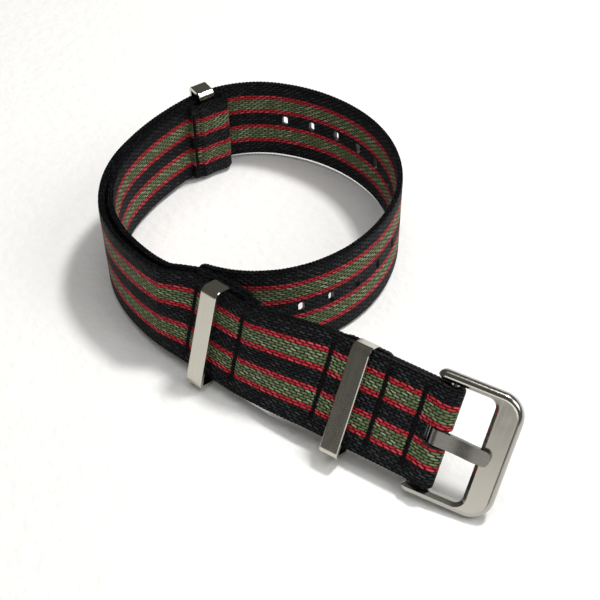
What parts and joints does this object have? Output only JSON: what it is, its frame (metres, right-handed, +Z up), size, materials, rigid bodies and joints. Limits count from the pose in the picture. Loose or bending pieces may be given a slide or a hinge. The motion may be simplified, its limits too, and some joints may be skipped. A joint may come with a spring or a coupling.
{
  "type": "nato watch strap",
  "caption": "Pass-through watch strap of striped woven webbing with steel keepers, a hinged buckle and a sewn second strap, coiled and standing on its edge.",
  "frame": {"origin": "centre of the footprint, on the surface that the strap stands on", "axes": "+Z up across the webbing, +X from the coil towards the buckle, -Y towards the front of the sewn stretch"},
  "size_m": [0.1058, 0.0752, 0.023],
  "materials": {
    "webbing": "matt woven nylon with olive green and red stripes",
    "thread": "black sewing thread",
    "satin_steel": "satin brushed",
    "pin_steel": "plain turned"
  },
  "bodies": {
    "strap": {"long_strap": "webbing", "short_strap": "webbing", "bar_tack_1": "thread", "bar_tack_2": "thread", "bar_tack_3": "thread", "bar_tack_4": "thread", "bar_tack_5": "thread", "bar_tack_6": "thread"},
    "buckle": {"buckle_frame": "satin_steel", "spring_bar_tube": "pin_steel", "spring_bar_spring": "pin_steel"},
    "tongue": {"buckle_tongue": "satin_steel"},
    "plunger_top": {"spring_bar_plunger_top": "pin_steel"},
    "plunger_bottom": {"spring_bar_plunger_bottom": "pin_steel"},
    "keeper_1": {"keeper_1": "satin_steel"},
    "keeper_2": {"keeper_2": "satin_steel"},
    "keeper_3": {"keeper_3": "satin_steel"}
  },
  "joints": [
    {"name": "buckle_hinge", "type": "hinge", "parent": "strap", "child": "buckle", "pos_m": [0.03956, -0.02841, 0.01162], "axis": [0, -0.518, -0.8554], "range_deg": [-110, 25]},
    {"name": "tongue_hinge", "type": "hinge", "parent": "buckle", "child": "tongue", "pos_m": [0.03956, -0.02841, 0.01162], "axis": [0, -0.518, -0.8554], "range_deg": [0, 75]},
    {"name": "plunger_top_slide", "type": "slide", "parent": "buckle", "child": "plunger_top", "axis": [0, -0.518, -0.8554], "range_m": [0, 0.001], "stiffness_N_per_m": 1500, "springref_m": -0.001, "deforming": ["spring_bar_spring"]},
    {"name": "plunger_bottom_slide", "type": "slide", "parent": "buckle", "child": "plunger_bottom", "axis": [0, 0.518, 0.8554], "range_m": [0, 0.001], "stiffness_N_per_m": 1500, "springref_m": -0.001, "deforming": ["spring_bar_spring"]},
    {"name": "keeper_1_slide", "type": "slide", "parent": "strap", "child": "keeper_1", "axis": [0.9934, -0.1149, 0], "range_m": [-0.00108, 0.00272]},
    {"name": "keeper_2_slide", "type": "slide", "parent": "strap", "child": "keeper_2", "axis": [1, 0, 0], "range_m": [-0.00239, 0.00141]},
    {"name": "keeper_3_slide", "type": "hinge", "parent": "strap", "child": "keeper_3", "pos_m": [-0.02781, 0.01297, 0.001], "axis": [0, 0, -1], "range_deg": [-2.51, 3.89]}
  ]
}
